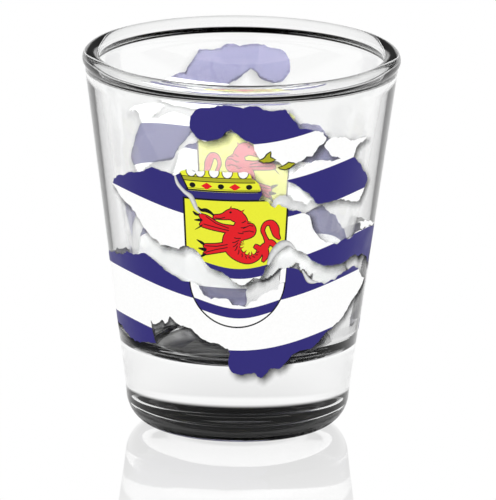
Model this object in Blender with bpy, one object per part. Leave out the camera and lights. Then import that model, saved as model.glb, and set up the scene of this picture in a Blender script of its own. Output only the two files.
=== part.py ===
"""Shot glass with a torn-paper flag print on its front and nearly the same print on its back.

Metres, +Z up. The origin is the centre of the foot, on the surface that the glass stands on.
The glass is one turned solid. Each print is a stack of thin ink films around the wall: white
first, then navy, then yellow, then red and black, each a separate closed solid.
An outline on the wall is a list of (angle, height): degrees and millimetres, with angle 0
facing -Y and growing towards +X.
"""
import math

import bmesh
import bpy
from mathutils.geometry import delaunay_2d_cdt

MM = 0.001

# Glass, in mm
HEIGHT = 60.0
FACETS = 72
FOOT_CONE_RADIUS = 16.8
WALL_SLOPE = 0.1355
LIP_CENTRE = (23.65, 58.75)
LIP_HALF_AXES = (1.35, HEIGHT - LIP_CENTRE[1])
LIP_OUTER_TURN = -25
LIP_INNER_TURN = 205
OUTER_WALL_TOP = 57.2
INNER_WALL_TOP = 56.8
WALL_THICKNESS = 1.45
THICKNESS_HEIGHT = 55.0
WALL_THICKENING = 0.055
FLOOR_HEIGHT = 12.8
FLOOR_DISH = 0.4
FLOOR_RING = (6.0, 12.5)
FLOOR_CORNER = 3.5
HEEL_RADIUS = 5.0
HEEL_CENTRE_RADIUS = 12.5
RECESS_RADIUS = 9.5
RECESS_RING = (5.7, 0.35)
RECESS_DEPTH = 0.5

# Ink films, in mm: each level stands one pitch further out than the last
PRINT_HALF_ANGLE = 95
PRINT_LOW = 8.0
PRINT_HIGH = 58.0
FILM_PITCH = 0.15
FILM_THICKNESS = 0.08
LINE_WIDTH = 0.4

# The back print's strips stand lower on the wall than the front ones, in mm
BACK_DROP = {"top": 1.7, "flap": 3.4, "middle": 1.3, "lower": 0.4}

# The back print's middle strip leans: mm down for each degree left of its middle, and mm up
# for each degree right of it
MIDDLE_LEAN = (0.05, 0.027)

# Print geometry: the wave's angular period and the shield
WAVE_RATE = 2.8
SHIELD_CENTRE = -1.7
SHIELD_LEFT = -23.0
SHIELD_RIGHT = 19.6
SHIELD_TOP = 41.3
BOWL_CENTRE = -0.7
BOWL_HALF_ANGLE = 21.2
BOWL_TOP = 27.5
BOWL_DEPTH = 7.3
BAR_RATE = 6.0
BAR = (21.7, 23.3)
CRESCENT = (28.3, 29.95)
CHARGE_CENTRE_HEIGHT = 35.5
CHARGE_MM_PER_DEGREE = 0.38

# Stripe edges from the top down: mean height and wave amplitude, in mm
CAP_EDGE = (52.6, 2.0)
UPPER_STRIPE_TOP = (45.5, 1.6)
UPPER_STRIPE_FOOT = (39.3, 1.6)
MIDDLE_STRIPE_TOP = (31.95, 1.67)
MIDDLE_STRIPE_FOOT = (25.5, 1.5)
LOWER_STRIPE_TOP = (17.7, 1.35)

# Torn outlines of the four strips
TOP_STRIP = [
    (-19.3, 53.7), (-18.8, 54.9), (-17.2, 55.8), (-15, 56.35), (-11.3, 56.5), (-8.4, 57),
    (-3.8, 57), (1, 56.6), (5.6, 57), (8.4, 56.3), (16.3, 56.3), (18, 55.4), (20.3, 54.2),
    (22.8, 52.8), (28.4, 52.4), (32.8, 51.8), (34.3, 50.9), (33.4, 50), (30.3, 49),
    (28.7, 48.1), (26.2, 48.2), (23.1, 47.4), (20.3, 46.8), (17, 46.9), (13.7, 47.8),
    (9, 47.9), (7.5, 48.2), (6.3, 48.9), (5, 50.6), (3.1, 51.1), (0, 51.8), (-1.9, 52.5),
    (-3.8, 53.1), (-5, 52.8), (-6.9, 51.8), (-10, 51.25), (-13.8, 50.9), (-16.6, 51.4),
    (-18.4, 52.4),
]
FLAP_STRIP = [
    (18.8, 44.4), (19.5, 45.1), (23, 46.1), (26, 46.8), (30, 47.35), (34, 47.2), (38, 46.75),
    (42.5, 47), (40, 47.4), (38, 47.6), (36.5, 48.2), (35, 48.9), (33.6, 49.6), (35.5, 50.5),
    (37, 50.7), (41, 50.6), (45, 50.1), (49, 49.5), (53, 49.6), (57, 49.3), (53, 48.9),
    (50.6, 48.1), (49.7, 46.8), (52, 46.1), (56, 44.6), (60, 43.2), (62, 42.3), (60.6, 41),
    (59.3, 40), (57.5, 39), (54, 39.1), (50, 39.6), (46, 40), (42, 40.15), (36, 40.05),
    (32.2, 40.2), (29.5, 41.4), (25.6, 42.6), (22.5, 43.7),
]
MIDDLE_STRIP = [
    (-63.1, 40.75), (-61.3, 41.8), (-54.6, 42.9), (-48, 44), (-43.8, 44.3), (-39.6, 45.1),
    (-36.9, 45.6), (-32.5, 45.2), (-26.3, 44.7), (-24.4, 45.2), (-23.5, 45.7), (-20.6, 46.1),
    (-15.4, 45.9), (-8, 46.1), (0.4, 46), (4, 45.6), (6, 44.6), (8.1, 43.3), (8.8, 42.3),
    (7.5, 41.4), (11.3, 41.1), (12.5, 40.4), (14.2, 40), (15.4, 40.6), (19, 39.9),
    (25.4, 39.1), (29.6, 38.2), (31.3, 36.5), (33.4, 35.2), (36.3, 34), (39.6, 33.3),
    (43.8, 32.9), (45.6, 32.6), (50.4, 33.25), (57.5, 33.6), (65.4, 33.6), (74.6, 33.2),
    (82, 32.9), (84.4, 31.5), (83, 29.5), (80.6, 27.4), (79, 27), (75.4, 28.2), (69.6, 29),
    (64.6, 29.4), (59.6, 29.9), (54.6, 29.4), (50.4, 29.1), (44.6, 29.1), (39.6, 29.4),
    (35.6, 30.1), (32.5, 30.7), (30.4, 31.6), (28.4, 32.1), (25.4, 32.6), (23, 33.3),
    (20.4, 34.1), (15.6, 33.5), (13.4, 32.6), (12.8, 31.3), (10.9, 29.75), (10.5, 29),
    (8.8, 28.3), (6.3, 28.5), (4.6, 27.9), (2.5, 27.3), (0.4, 27.3), (-2.5, 27.9),
    (-4.4, 28.6), (-6.9, 29.3), (-10.4, 29.7), (-13.8, 30.4), (-16.3, 32), (-18.8, 32.8),
    (-21.9, 33.3), (-24.4, 33.2), (-26.3, 32.6), (-30.4, 32.8), (-35.4, 32.8), (-37.5, 33.6),
    (-40.6, 34), (-43.8, 35.1), (-48.1, 37.3), (-50.6, 38.1), (-54.4, 38.6), (-57.5, 39.2),
    (-59.6, 40),
]
LOWER_STRIP = [
    (-94, 26.6), (-84.6, 27.6), (-79.6, 28.2), (-70.4, 29.1), (-62, 29.25), (-52, 30),
    (-45.4, 30.8), (-41.3, 30.4), (-35.4, 29.25), (-32.5, 28.5), (-28.8, 28), (-24.6, 27.3),
    (-19.4, 27.2), (-17.2, 26.3), (-15.4, 25.3), (-8.8, 24.9), (-4.4, 24.8), (-1.9, 23.9),
    (3.1, 23.6), (5.4, 24.5), (8.1, 24.7), (10.4, 25.6), (13.1, 26.1), (17.5, 26.4),
    (18.1, 27.5), (18.5, 29.7), (20.6, 29.9), (24.6, 29.7), (26.9, 29.3), (28.8, 28.6),
    (30.6, 27.6), (33.1, 26.8), (38.1, 26.7), (41, 26.3), (44.4, 26.8), (47.5, 26.6),
    (48.8, 27.2), (52.5, 27.6), (59.4, 28), (62.5, 27.6), (67.5, 26.4), (71.3, 25.4),
    (77.5, 24.7), (74.6, 23.8), (69.6, 23.1), (64.6, 22.3), (60.6, 21.2), (57.5, 20.1),
    (52.5, 19.2), (48.1, 18.4), (42.5, 17.2), (39.6, 16.4), (36.9, 15.8), (28.8, 15.5),
    (26.3, 15.1), (24.4, 14.3), (21.9, 13.4), (19.4, 13.1), (16.3, 13.25), (14.4, 12.5),
    (11.3, 11.7), (9.4, 12), (8.1, 12.6), (5.6, 12.5), (1.3, 12.25), (-1.9, 12.5),
    (-4.1, 13.3), (-4.5, 14.8), (-4.6, 16.6), (-9.4, 17.4), (-16.3, 17.9), (-19.4, 18.7),
    (-22.5, 19.6), (-27.5, 19.8), (-30.4, 20.3), (-33.1, 21.1), (-34.2, 20.2), (-36, 19.7),
    (-37.5, 20.3), (-40.6, 19.5), (-43.4, 19.2), (-44.6, 19.8), (-44.4, 18.4), (-43.4, 16.6),
    (-42.5, 16.1), (-46.3, 15.9), (-52.5, 15.6), (-58.8, 15.3), (-62.5, 15.5), (-66.3, 16),
    (-71.3, 16.5), (-77.5, 16.8), (-84, 16.5), (-93.4, 15.9), (-94.4, 19), (-93, 23),
]
CORONET = [(-20.8, 42.6), (-22.2, 43.8), (-24, 45.3), (-24, 47), (5.4, 47), (9.4, 43.3), (7, 42.6)]

# The charge, a sea horse rising from the waves: (x, y, half width) along its body and its
# fins' outlines, in mm from the shield's middle
CHARGE_BODY = [
    (-3.4, 3.0, 0.3), (-2.0, 3.1, 0.45), (-0.4, 3.5, 0.95), (0.9, 2.5, 0.9), (0.6, 0.9, 1.1),
    (-0.5, -0.6, 1.4), (-0.4, -2.2, 1.15), (0.8, -3.5, 0.8), (2.3, -4.0, 0.6), (3.6, -3.4, 0.5),
    (3.9, -2.3, 0.4), (3.1, -1.7, 0.3),
]
BACK_FIN = [(0.6, 1.6), (2.6, 2.2), (3.3, 1.0), (2.9, -0.2), (0.4, -0.9)]
UPPER_FIN = [(0.4, 1.6), (-2.4, 1.8), (-4.4, 3.2), (-5.9, 3.4), (-5.2, 2.2), (-5.8, 1.4), (-4.0, 0.9),
             (-0.4, 0.3)]
LOWER_FIN = [(-0.2, -0.8), (-3.0, -1.5), (-5.3, -1.6), (-4.7, -2.6), (-5.4, -3.5), (-3.2, -3.0),
             (-0.4, -2.4)]

WHITE = (0.93, 0.93, 0.92)
NAVY = (0.035, 0.03, 0.19)
YELLOW = (0.80, 0.84, 0.03)
RED = (0.75, 0.015, 0.02)
BLACK = (0.012, 0.012, 0.014)
INK_ROUGHNESS = 0.35


def clear_scene():
    for old in list(bpy.data.objects):
        bpy.data.objects.remove(old, do_unlink=True)


def make_material(name, colour, roughness, alpha=1.0, transmission=0.0):
    material = bpy.data.materials.new(name)
    material.use_nodes = True
    shader = material.node_tree.nodes["Principled BSDF"]
    shader.inputs["Base Color"].default_value = (*colour, 1.0)
    shader.inputs["Roughness"].default_value = roughness
    shader.inputs["Metallic"].default_value = 0.0
    shader.inputs["Alpha"].default_value = alpha
    shader.inputs["Transmission Weight"].default_value = transmission
    return material


# Glass body

def wall_radius(height):
    return FOOT_CONE_RADIUS + WALL_SLOPE * height


def inner_radius(height):
    """The cavity's wall, which thickens slowly on its way down."""
    return wall_radius(height) - WALL_THICKNESS - WALL_THICKENING * (THICKNESS_HEIGHT - height)


def ellipse_arc(centre, half_axes, start, end, steps):
    """Points along part of an ellipse, both ends included; angles in degrees from +X."""
    points = []
    for i in range(steps + 1):
        turn = math.radians(start + (end - start) * i / steps)
        points.append((centre[0] + half_axes[0] * math.cos(turn),
                       centre[1] + half_axes[1] * math.sin(turn)))
    return points


def outer_profile():
    """Lip, straight wall, rounded heel, foot and shallow recess, top to bottom."""
    points = ellipse_arc(LIP_CENTRE, LIP_HALF_AXES, 90, LIP_OUTER_TURN, 6)
    points.append((wall_radius(OUTER_WALL_TOP), OUTER_WALL_TOP))
    wall_angle = -math.degrees(math.atan(WALL_SLOPE))
    points += ellipse_arc((HEEL_CENTRE_RADIUS, HEEL_RADIUS), (HEEL_RADIUS, HEEL_RADIUS),
                          wall_angle, -90, 7)
    points.append((RECESS_RADIUS, 0.0))
    points += [RECESS_RING, (0.0, RECESS_DEPTH)]
    return points


def inner_profile():
    """Inner side of the lip, wall, rounded corner and dished floor, top to bottom."""
    points = ellipse_arc(LIP_CENTRE, LIP_HALF_AXES, 90, LIP_INNER_TURN, 6)[1:]
    points.append((inner_radius(INNER_WALL_TOP), INNER_WALL_TOP))
    corner_height = FLOOR_HEIGHT + FLOOR_CORNER
    corner_centre = inner_radius(corner_height) - FLOOR_CORNER
    points += ellipse_arc((corner_centre, corner_height), (FLOOR_CORNER, FLOOR_CORNER), 0, -84, 5)
    points += [FLOOR_RING, (0.0, FLOOR_HEIGHT - FLOOR_DISH)]
    return points


def wall_point(angle, radius, height):
    """A point in metres from an angle in degrees and a radius and height in mm."""
    turn = math.radians(angle)
    return (radius * math.sin(turn) * MM, -radius * math.cos(turn) * MM, height * MM)


def make_glass(material):
    """Turn the closed profile, from the recess's centre up the outside and down the inside."""
    profile = list(reversed(outer_profile())) + inner_profile()
    mesh = bmesh.new()
    rings = []
    for radius, height in profile:
        if radius == 0.0:
            rings.append([mesh.verts.new((0.0, 0.0, height * MM))])
            continue
        rings.append([mesh.verts.new(wall_point(i * 360.0 / FACETS, radius, height))
                      for i in range(FACETS)])
    for lower, upper in zip(rings, rings[1:]):
        for i in range(FACETS):
            j = (i + 1) % FACETS
            if len(lower) == 1:
                mesh.faces.new((lower[0], upper[j], upper[i]))
            elif len(upper) == 1:
                mesh.faces.new((lower[i], lower[j], upper[0]))
            else:
                mesh.faces.new((lower[i], lower[j], upper[j], upper[i]))
    return finish_object("glass_body", mesh, material)


def finish_object(name, mesh, material):
    bmesh.ops.recalc_face_normals(mesh, faces=mesh.faces)
    data = bpy.data.meshes.new(name)
    mesh.to_mesh(data)
    mesh.free()
    data.shade_smooth()
    data.set_sharp_from_angle(angle=math.radians(40))
    data.materials.append(material)
    placed = bpy.data.objects.new(name, data)
    bpy.context.scene.collection.objects.link(placed)
    return placed


# Flat geometry on the unrolled wall

def inside(outline, x, y):
    """Whether a point lies inside a closed outline, by counting crossings."""
    hit = False
    for (x0, y0), (x1, y1) in zip(outline, outline[1:] + outline[:1]):
        if (y0 > y) != (y1 > y) and x < x0 + (x1 - x0) * (y - y0) / (y1 - y0):
            hit = not hit
    return hit


def wave(edge, angle):
    height, amplitude = edge
    return height - amplitude * math.cos(math.radians(WAVE_RATE * angle))


def wave_line(edge):
    """A stripe's edge right across a print, one point on each facet line and between them."""
    half_step = 180.0 / FACETS
    count = int(PRINT_HALF_ANGLE / half_step)
    return [(i * half_step, wave(edge, i * half_step)) for i in range(-count, count + 1)]


def bar_shift(angle):
    """How far the shield's wavy bars rise away from its middle."""
    return 1.0 - math.cos(math.radians(BAR_RATE * angle))


def bar_outline(heights):
    """One wavy bar of the shield, from side to side."""
    low, high = heights
    angles = [SHIELD_LEFT + (SHIELD_RIGHT - SHIELD_LEFT) * i / 12 for i in range(13)]
    top = [(a, high + bar_shift(a)) for a in angles]
    return top + [(a, low + bar_shift(a)) for a in reversed(angles)]


def bowl_outline(shrink):
    """The shield's rounded lower end, drawn in by a number of mm, closed across its top."""
    half_angle = BOWL_HALF_ANGLE - shrink / CHARGE_MM_PER_DEGREE
    arc = ellipse_arc((BOWL_CENTRE, BOWL_TOP), (half_angle, BOWL_DEPTH - shrink), 180, 360, 18)
    return [(arc[0][0], BOWL_TOP + 4)] + arc + [(arc[-1][0], BOWL_TOP + 4)]


def shield_outline():
    """The yellow field, from the shield's top down to the first wavy bar."""
    angles = [SHIELD_RIGHT + (SHIELD_LEFT - SHIELD_RIGHT) * i / 12 for i in range(13)]
    foot = [(a, CRESCENT[1] + bar_shift(a)) for a in angles]
    return [(SHIELD_LEFT, SHIELD_TOP), (SHIELD_RIGHT, SHIELD_TOP)] + foot


def stroke_outline(points):
    """The outline of a brush stroke whose half width changes from point to point."""
    left, right = [], []
    for i, (x, y, half_width) in enumerate(points):
        x0, y0, _ = points[max(i - 1, 0)]
        x1, y1, _ = points[min(i + 1, len(points) - 1)]
        length = math.hypot(x1 - x0, y1 - y0)
        across = (-(y1 - y0) / length * half_width, (x1 - x0) / length * half_width)
        left.append((x + across[0], y + across[1]))
        right.append((x - across[0], y - across[1]))
    return left + list(reversed(right))


def on_shield(outline):
    """Move an outline in mm from the shield's middle onto the unrolled wall."""
    return [(SHIELD_CENTRE + x / CHARGE_MM_PER_DEGREE, CHARGE_CENTRE_HEIGHT + y) for x, y in outline]


# Ink films

def facet_radius_factor(angle):
    """Bring a point on the round cone in to the flat facet that it lies on."""
    step = 360.0 / FACETS
    middle = (math.floor(angle / step) + 0.5) * step
    return math.cos(math.radians(step / 2)) / math.cos(math.radians(angle - middle))


def flat_triangles(lines, low, high):
    """Triangulate the unrolled wall so that no triangle crosses a line or a facet's edge."""
    points, edges = [], []
    for line in lines:
        first = len(points)
        points += line
        edges += [(first + i, first + i + 1) for i in range(len(line) - 1)]
    step = 360.0 / FACETS
    for i in range(math.floor(low / step), math.ceil(high / step) + 1):
        edges.append((len(points), len(points) + 1))
        points += [(i * step, PRINT_LOW), (i * step, PRINT_HIGH)]
    result = delaunay_2d_cdt(points, edges, [], 0, 0.002)
    return result[0], result[2]


def patch_at(seed, corners, triangles, keep):
    """The triangles that pass the test and are joined edge to edge to the one at the seed."""
    kept, by_edge = {}, {}
    for index, triangle in enumerate(triangles):
        x = sum(corners[i][0] for i in triangle) / 3
        y = sum(corners[i][1] for i in triangle) / 3
        if keep(x, y):
            kept[index] = (x, y)
            for a, b in zip(triangle, triangle[1:] + triangle[:1]):
                by_edge.setdefault(frozenset((a, b)), []).append(index)
    start = min(kept, key=lambda i: math.dist(kept[i], seed))
    found, waiting = {start}, [start]
    while waiting:
        triangle = triangles[waiting.pop()]
        for a, b in zip(triangle, triangle[1:] + triangle[:1]):
            for other in by_edge[frozenset((a, b))]:
                if other not in found:
                    found.add(other)
                    waiting.append(other)
    return [triangles[i] for i in sorted(found)]


def back_drop(strip, angle):
    """How far down a point of the back print moves, by its angle from the print's middle."""
    drop = BACK_DROP[strip]
    if strip == "middle":
        left, right = MIDDLE_LEAN
        drop -= angle * (left if angle < 0 else right)
    return drop


def make_film(side, strip, name, level, material, outlines, keep, seed):
    """Wrap one ink area of a strip around the wall as a closed film at its level."""
    turn = 180.0 if side == "back" else 0.0
    closed = [line + line[:1] for line in outlines["closed"]]
    lines = closed + outlines.get("open", [])
    angles = [x for x, _ in outlines["closed"][0]]
    corners, triangles = flat_triangles(lines, min(angles), max(angles))
    patch = patch_at(seed, corners, triangles, keep)
    mesh = bmesh.new()
    inner_lift = FILM_PITCH * level
    skins = []
    for lift in (inner_lift, inner_lift + FILM_THICKNESS):
        skin = {}
        for i in sorted({i for triangle in patch for i in triangle}):
            drop = back_drop(strip, corners[i][0]) if side == "back" else 0.0
            angle, height = corners[i][0] + turn, corners[i][1] - drop
            radius = (wall_radius(height) + lift) * facet_radius_factor(angle)
            skin[i] = mesh.verts.new(wall_point(angle, radius, height))
        skins.append(skin)
    inner, outer = skins
    directed = set()
    for a, b, c in patch:
        mesh.faces.new((outer[a], outer[b], outer[c]))
        mesh.faces.new((inner[c], inner[b], inner[a]))
        directed.update(((a, b), (b, c), (c, a)))
    for a, b in sorted(directed):
        if (b, a) not in directed:
            mesh.faces.new((outer[b], outer[a], inner[a], inner[b]))
    return finish_object(f"{side}_{name}", mesh, material)


def below(edge):
    return lambda x, y: y < wave(edge, x)


def above(edge):
    return lambda x, y: y > wave(edge, x)


def between(low, high):
    return lambda x, y: wave(low, x) < y < wave(high, x)


def within(*outlines):
    return lambda x, y: all(inside(outline, x, y) for outline in outlines)


def outside(outline):
    return lambda x, y: not inside(outline, x, y)


def both(first, second):
    return lambda x, y: first(x, y) and second(x, y)


def white_films(side, material):
    strips = {"top": TOP_STRIP, "flap": FLAP_STRIP, "middle": MIDDLE_STRIP, "lower": LOWER_STRIP}
    for name, strip in strips.items():
        make_film(side, name, f"white_{name}", 1, material, {"closed": [strip]}, within(strip),
                  strip[0])


def navy_films(side, material):
    bowl = bowl_outline(0.0)
    bar = bar_outline(BAR)
    crescent = bar_outline(CRESCENT)
    stripes = [
        ("cap", "top", TOP_STRIP, [CAP_EDGE], above(CAP_EDGE), (0, 55)),
        ("flap", "flap", FLAP_STRIP, [UPPER_STRIPE_FOOT, UPPER_STRIPE_TOP],
         between(UPPER_STRIPE_FOOT, UPPER_STRIPE_TOP), (40, 43)),
        ("middle_left", "middle", MIDDLE_STRIP, [UPPER_STRIPE_FOOT],
         above(UPPER_STRIPE_FOOT), (-40, 42)),
        ("middle_right", "middle", MIDDLE_STRIP, [MIDDLE_STRIPE_TOP],
         below(MIDDLE_STRIPE_TOP), (60, 31)),
        ("lower_left", "lower", LOWER_STRIP, [MIDDLE_STRIPE_FOOT],
         both(above(MIDDLE_STRIPE_FOOT), outside(bowl)), (-50, 28)),
        ("lower_right", "lower", LOWER_STRIP, [MIDDLE_STRIPE_FOOT],
         both(above(MIDDLE_STRIPE_FOOT), outside(bowl)), (25, 27)),
        ("wedge", "lower", LOWER_STRIP, [LOWER_STRIPE_TOP], below(LOWER_STRIPE_TOP), (-60, 17)),
        ("foot", "lower", LOWER_STRIP, [LOWER_STRIPE_TOP], below(LOWER_STRIPE_TOP), (10, 14)),
    ]
    for name, strip, outline, edges, keep, seed in stripes:
        closed = [outline, bowl] if name.startswith("lower") else [outline]
        outlines = {"closed": closed, "open": [wave_line(edge) for edge in edges]}
        make_film(side, strip, f"navy_{name}", 2, material, outlines,
                  both(within(outline), keep), seed)
    make_film(side, "lower", "navy_bar", 2, material, {"closed": [LOWER_STRIP, bowl, bar]},
              within(LOWER_STRIP, bowl, bar), (0, 22.5))
    make_film(side, "middle", "navy_crescent", 2, material, {"closed": [MIDDLE_STRIP, crescent]},
              within(MIDDLE_STRIP, crescent), (0, 29))


def emblem_films(side, yellow, red, black):
    shield = shield_outline()
    make_film(side, "middle", "yellow_shield", 3, yellow, {"closed": [MIDDLE_STRIP, shield]},
              within(MIDDLE_STRIP, shield), (-10, 38))
    make_film(side, "middle", "yellow_coronet", 3, yellow, {"closed": [MIDDLE_STRIP, CORONET]},
              within(MIDDLE_STRIP, CORONET), (-8, 44))
    charge = [on_shield(outline) for outline in
              (stroke_outline(CHARGE_BODY), BACK_FIN, UPPER_FIN, LOWER_FIN)]
    make_film(side, "middle", "red_charge", 4, red, {"closed": charge},
              lambda x, y: any(inside(outline, x, y) for outline in charge), (-2, 35))
    bowl, hollow = bowl_outline(0.0), bowl_outline(LINE_WIDTH)
    make_film(side, "lower", "black_outline", 3, black, {"closed": [LOWER_STRIP, bowl, hollow]},
              both(within(LOWER_STRIP, bowl), outside(hollow)), (0, 20.3))


def make_print(side, inks):
    white_films(side, inks["white"])
    navy_films(side, inks["navy"])
    emblem_films(side, inks["yellow"], inks["red"], inks["black"])


def main():
    clear_scene()
    glass = make_material("clear_glass", (0.96, 0.97, 0.97), 0.02, alpha=0.35, transmission=1.0)
    colours = {"white": WHITE, "navy": NAVY, "yellow": YELLOW, "red": RED, "black": BLACK}
    inks = {name: make_material(f"{name}_ink", colour, INK_ROUGHNESS)
            for name, colour in colours.items()}
    make_glass(glass)
    make_print("front", inks)
    make_print("back", inks)


main()
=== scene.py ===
import math
import random

import bmesh
import bpy
import numpy as np
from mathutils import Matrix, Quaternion, Vector
from mathutils.geometry import delaunay_2d_cdt


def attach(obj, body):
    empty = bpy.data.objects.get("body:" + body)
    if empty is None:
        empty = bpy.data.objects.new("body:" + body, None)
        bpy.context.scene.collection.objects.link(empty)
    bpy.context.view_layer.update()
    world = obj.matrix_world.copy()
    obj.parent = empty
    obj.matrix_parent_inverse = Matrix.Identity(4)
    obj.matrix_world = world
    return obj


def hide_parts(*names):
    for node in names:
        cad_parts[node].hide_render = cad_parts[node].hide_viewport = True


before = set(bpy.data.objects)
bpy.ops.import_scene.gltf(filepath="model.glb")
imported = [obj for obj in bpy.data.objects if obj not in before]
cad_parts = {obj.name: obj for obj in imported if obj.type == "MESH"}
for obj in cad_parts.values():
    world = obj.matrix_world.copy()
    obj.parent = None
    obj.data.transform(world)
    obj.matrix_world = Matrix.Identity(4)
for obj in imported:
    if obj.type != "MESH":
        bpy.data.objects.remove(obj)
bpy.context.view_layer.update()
MM = 0.001

# Camera: degrees, mm of lens, and metres. A long lens far away, as the photo has little perspective
ELEVATION = 14.2
ROLL = 0.7
LENS = 1145.0
DISTANCE = 2.5
AIM = (0.00137, 0.0, 0.02775)
SENSOR = 36.0
CLIP = (0.05, 50.0)

# Sky: heights in degrees where it turns from clear to dark, seen through glass and in reflections
SKY_CLEAR = 2
SKY_DARK = 8
GLANCE_CLEAR = 6
GLANCE_DARK = 12
GLANCE_LEVEL = 0.1
INK_LIGHT = 1.18
THROUGH_LIGHT = 7.8

# Floor: lengths in metres
FLOOR_RADIUS = 8.0
FLOOR_DROP = 0.00015
FLOOR_ROUGHNESS = 0.03
FLOOR_GLOSSY = 0.06
FLOOR_DIM_SIDE = 0.03
FLOOR_REFLECT = 0.27
FLOOR_FADE_START = 0.010
FLOOR_FADE = 0.110
# Painted shadow under the foot: the distances from the middle where it is fully dark and where it
# has faded
FOOT_SHADOW_DARK = 0.014
FOOT_SHADOW_CLEAR = 0.021

# Glass profile, in mm
FOOT_CONE_RADIUS = 16.8
WALL_SLOPE = 0.1355
WALL_STEPS = 30
SEGMENTS = 240
LIP_CENTRE = (23.65, 58.75)
LIP_HALF_AXES = (1.342, 1.25)
LIP_TOP_TURN = 90
LIP_OUTER_TURN = -25
LIP_INNER_TURN = 205
LIP_UNDERSIDE = 57.7
INNER_WALL_TOP = 56.8
WALL_THICKNESS = 1.45
WALL_THICKENING = 0.055
THICKNESS_HEIGHT = 55.0
OUTER_WALL_FOOT = 5.6
HEEL_CENTRE = (12.5, 5.0)
HEEL_RADIUS = 5.0
RING_INNER_RADIUS = 11.0
RECESS_DEPTH = 0.5
CAVITY_FLOOR = 12.8
CAVITY_CORNER = 3.5
CAVITY_MIDDLE = 12.4


def wall_radius(height):
    return FOOT_CONE_RADIUS + WALL_SLOPE * height


def ellipse_arc(centre, half_axes, start, end, steps):
    points = []
    for i in range(steps + 1):
        turn = math.radians(start + (end - start) * i / steps)
        points.append((centre[0] + half_axes[0] * math.cos(turn),
                       centre[1] + half_axes[1] * math.sin(turn)))
    return points


def smooth_line(points, steps):
    """A curve through the points (Catmull-Rom)."""
    out = []
    for i in range(len(points) - 1):
        p0 = points[max(i - 1, 0)]
        p1, p2 = points[i], points[i + 1]
        p3 = points[min(i + 2, len(points) - 1)]
        for k in range(steps):
            t = k / steps
            out.append(tuple(0.5 * (2 * b + (c - a) * t + (2 * a - 5 * b + 4 * c - d) * t * t
                                    + (3 * b - a - 3 * c + d) * t ** 3)
                             for a, b, c, d in zip(p0, p1, p2, p3)))
    out.append(points[-1])
    return out


def bezier(p0, p1, p2, p3, steps):
    out = []
    for k in range(steps + 1):
        t = k / steps
        u = 1 - t
        out.append(tuple(u ** 3 * a + 3 * u * u * t * b + 3 * u * t * t * c + t ** 3 * d
                         for a, b, c, d in zip(p0, p1, p2, p3)))
    return out


def inner_radius(height):
    return wall_radius(height) - WALL_THICKNESS - WALL_THICKENING * (THICKNESS_HEIGHT - height)


def wall_line(radius_at, top, foot):
    """The wall between two heights, without its ends."""
    heights = [top + (foot - top) * i / WALL_STEPS for i in range(1, WALL_STEPS)]
    return [(radius_at(h), h) for h in heights]


def outer_profile():
    """From the lip's top down the outside to the middle of the foot."""
    pts = ellipse_arc(LIP_CENTRE, LIP_HALF_AXES, LIP_TOP_TURN, LIP_OUTER_TURN, 20)
    last = pts[-1]
    underside = wall_radius(LIP_UNDERSIDE)
    pts += bezier(last, (last[0] - 0.08, last[1] - 0.18), (underside + 0.02, LIP_UNDERSIDE + 0.2),
                  (underside, LIP_UNDERSIDE), 8)[1:]
    pts += wall_line(wall_radius, LIP_UNDERSIDE, OUTER_WALL_FOOT)
    wall_turn = -math.degrees(math.atan(WALL_SLOPE))
    pts += ellipse_arc(HEEL_CENTRE, (HEEL_RADIUS, HEEL_RADIUS), wall_turn, -90, 24)
    pts += [(12.0, 0.0), (RING_INNER_RADIUS, 0.0)]
    pts += bezier((10.4, 0.0), (9.2, 0.0), (7.5, RECESS_DEPTH), (0.0, RECESS_DEPTH), 16)
    return pts


def inner_profile():
    """From the lip's top down the inside to the middle of the cavity's floor."""
    pts = ellipse_arc(LIP_CENTRE, LIP_HALF_AXES, LIP_TOP_TURN, LIP_INNER_TURN, 20)[1:]
    last = pts[-1]
    pts += bezier(last, (last[0] + 0.15, last[1] - 0.35), (inner_radius(57.3) - 0.05, 57.6),
                  (inner_radius(INNER_WALL_TOP), INNER_WALL_TOP), 8)[1:]
    foot = CAVITY_FLOOR + CAVITY_CORNER
    pts += wall_line(inner_radius, INNER_WALL_TOP, foot)
    pts += ellipse_arc((inner_radius(foot) - CAVITY_CORNER, foot), (CAVITY_CORNER, CAVITY_CORNER),
                       -10, -88, 18)
    last = pts[-1]
    pts += bezier(last, (last[0] - 3, last[1] - 0.15), (4, CAVITY_MIDDLE), (0.0, CAVITY_MIDDLE),
                  14)[1:]
    return pts


def turned(name, profile, segments):
    mesh = bmesh.new()
    rings = []
    for r, z in profile:
        if r < 1e-6:
            rings.append([mesh.verts.new((0, 0, z * MM))])
        else:
            rings.append([mesh.verts.new((r * MM * math.sin(2 * math.pi * i / segments),
                                          -r * MM * math.cos(2 * math.pi * i / segments), z * MM))
                          for i in range(segments)])
    for a, b in zip(rings, rings[1:]):
        for i in range(segments):
            j = (i + 1) % segments
            if len(a) == 1:
                mesh.faces.new((a[0], b[j], b[i]))
            elif len(b) == 1:
                mesh.faces.new((a[i], a[j], b[0]))
            else:
                mesh.faces.new((a[i], a[j], b[j], b[i]))
    bmesh.ops.recalc_face_normals(mesh, faces=mesh.faces)
    data = bpy.data.meshes.new(name)
    mesh.to_mesh(data)
    mesh.free()
    data.shade_smooth()
    ob = bpy.data.objects.new(name, data)
    bpy.context.scene.collection.objects.link(ob)
    return ob


def new_material(name):
    m = bpy.data.materials.new(name)
    m.use_nodes = True
    return m, m.node_tree, m.node_tree.nodes["Principled BSDF"]


def glass_material():
    m, _, s = new_material("clear_glass")
    s.inputs["Base Color"].default_value = (0.985, 0.988, 0.986, 1)
    s.inputs["Roughness"].default_value = 0.0
    s.inputs["IOR"].default_value = 1.5
    s.inputs["Transmission Weight"].default_value = 1.0
    return m


profile = list(reversed(outer_profile())) + inner_profile()
glass = turned("pressed_glass", profile, SEGMENTS)
glass.data.materials.append(glass_material())
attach(glass, "root")
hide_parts("glass_body")

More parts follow.
